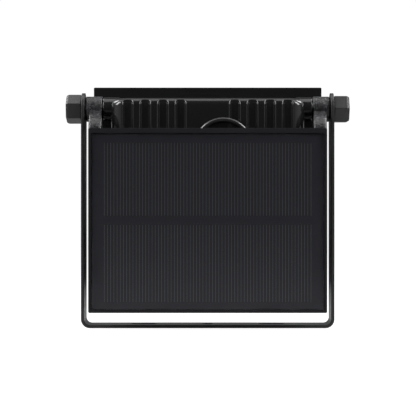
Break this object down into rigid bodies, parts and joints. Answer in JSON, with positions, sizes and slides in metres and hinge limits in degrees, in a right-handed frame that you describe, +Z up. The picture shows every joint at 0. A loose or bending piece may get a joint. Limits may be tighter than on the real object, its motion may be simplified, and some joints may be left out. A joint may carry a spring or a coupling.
{
  "type": "solar flood light",
  "caption": "Flat LED flood light on a bent strip bracket, with a hinged solar panel folded against its ribbed back and hexagonal clamp knobs.",
  "frame": {"origin": "middle of the underside of the bracket's base, straight below the clamping axis", "axes": "+Z up along the bracket's legs, +X along the clamping axis towards the right-hand knob as seen from behind, +Y the way the light shines"},
  "size_m": [0.1774, 0.054, 0.151],
  "materials": {
    "black_paint": "black powder coat on steel strip, satin",
    "matt_black": "black moulded plastic, satin",
    "gloss_black": "black moulded ABS, glossy",
    "textured_black": "charcoal plastic with a fine spark-eroded texture",
    "rubber": "black rubber, matt",
    "steel": "zinc plated",
    "brass": "turned",
    "copper": "tinned copper strip",
    "aluminium": "rolled sheet",
    "white_plastic": "white, glossy",
    "glass": "clear, polished",
    "phosphor": "yellow phosphor under silicone",
    "board_green": "green solder mask",
    "cell_wrap": null,
    "solar_cell": "dark silicon with fine silver fingers",
    "panel_film": "clear satin laminate over the cells"
  },
  "bodies": {
    "bracket": {"bracket": "black_paint"},
    "lamp": {"front_bezel": "matt_black", "rear_casing": "gloss_black", "battery_holder": "textured_black", "switch_body": "textured_black", "casing_gasket": "rubber", "lens_gasket": "rubber", "lamp_gland": "rubber", "left_rest_pad": "rubber", "right_rest_pad": "rubber", "port_cover_anchor": "rubber", "link_cable": "rubber", "charge_socket": "steel", "left_insert": "brass", "right_insert": "brass", "heat_plate": "aluminium", "led_board": "white_plastic", "reflector": "white_plastic", "lens": "glass", "cob_led": "phosphor", "driver_board": "board_green", "battery_cell_1": "cell_wrap", "battery_cell_2": "cell_wrap", "bezel_screw_1": "steel", "bezel_screw_2": "steel", "bezel_screw_3": "steel", "bezel_screw_4": "steel"},
    "left_clamp": {"left_washer": "steel"},
    "left_knob": {"left_knob": "textured_black", "left_clamp_bolt": "steel"},
    "right_clamp": {"right_washer": "steel"},
    "right_knob": {"right_knob": "textured_black", "right_clamp_bolt": "steel"},
    "power_button": {"power_button": "rubber"},
    "port_cover": {"port_cover": "rubber"},
    "panel": {"panel_frame": "textured_black", "panel_back_cover": "textured_black", "solar_backboard": "board_green", "upper_cell_row": "solar_cell", "lower_cell_row": "solar_cell", "panel_glazing": "panel_film", "left_row_link": "copper", "right_row_link": "copper", "junction_block": "rubber", "charge_diode_board": "board_green", "left_ear_bush": "white_plastic", "right_ear_bush": "white_plastic", "back_screw_1": "steel", "back_screw_2": "steel", "back_screw_3": "steel", "back_screw_4": "steel"}
  },
  "joints": [
    {"name": "lamp_tilt", "type": "hinge", "parent": "bracket", "child": "lamp", "pos_m": [0, 0, 0.136], "axis": [1, 0, 0], "range_deg": [-180, 180]},
    {"name": "panel_fold", "type": "hinge", "parent": "lamp", "child": "panel", "pos_m": [0, 0, 0.136], "axis": [-1, 0, 0], "range_deg": [0, 120], "deforming": ["link_cable"]},
    {"name": "left_clamp_travel", "type": "slide", "parent": "lamp", "child": "left_clamp", "axis": [-1, 0, 0], "range_m": [0, 0.001]},
    {"name": "left_knob_turn", "type": "hinge", "parent": "left_clamp", "child": "left_knob", "pos_m": [-0.0787, 0, 0.136], "axis": [-1, 0, 0], "range_deg": [0, 360]},
    {"name": "right_clamp_travel", "type": "slide", "parent": "lamp", "child": "right_clamp", "axis": [1, 0, 0], "range_m": [0, 0.001]},
    {"name": "right_knob_turn", "type": "hinge", "parent": "right_clamp", "child": "right_knob", "pos_m": [0.0787, 0, 0.136], "axis": [1, 0, 0], "range_deg": [0, 360]},
    {"name": "power_button_press", "type": "slide", "parent": "lamp", "child": "power_button", "axis": [0, 0, 1], "range_m": [0, 0.0012], "stiffness_N_per_m": 200, "springref_m": -0.002},
    {"name": "port_cover_open", "type": "hinge", "parent": "lamp", "child": "port_cover", "pos_m": [0.034, 0.002, 0.03105], "axis": [0, -1, 0], "range_deg": [0, 110]}
  ],
  "couplings": [
    {"joint": "left_knob_turn", "follows": "left_clamp_travel", "rad_per_m": 6283.2},
    {"joint": "right_knob_turn", "follows": "right_clamp_travel", "rad_per_m": 6283.2}
  ]
}
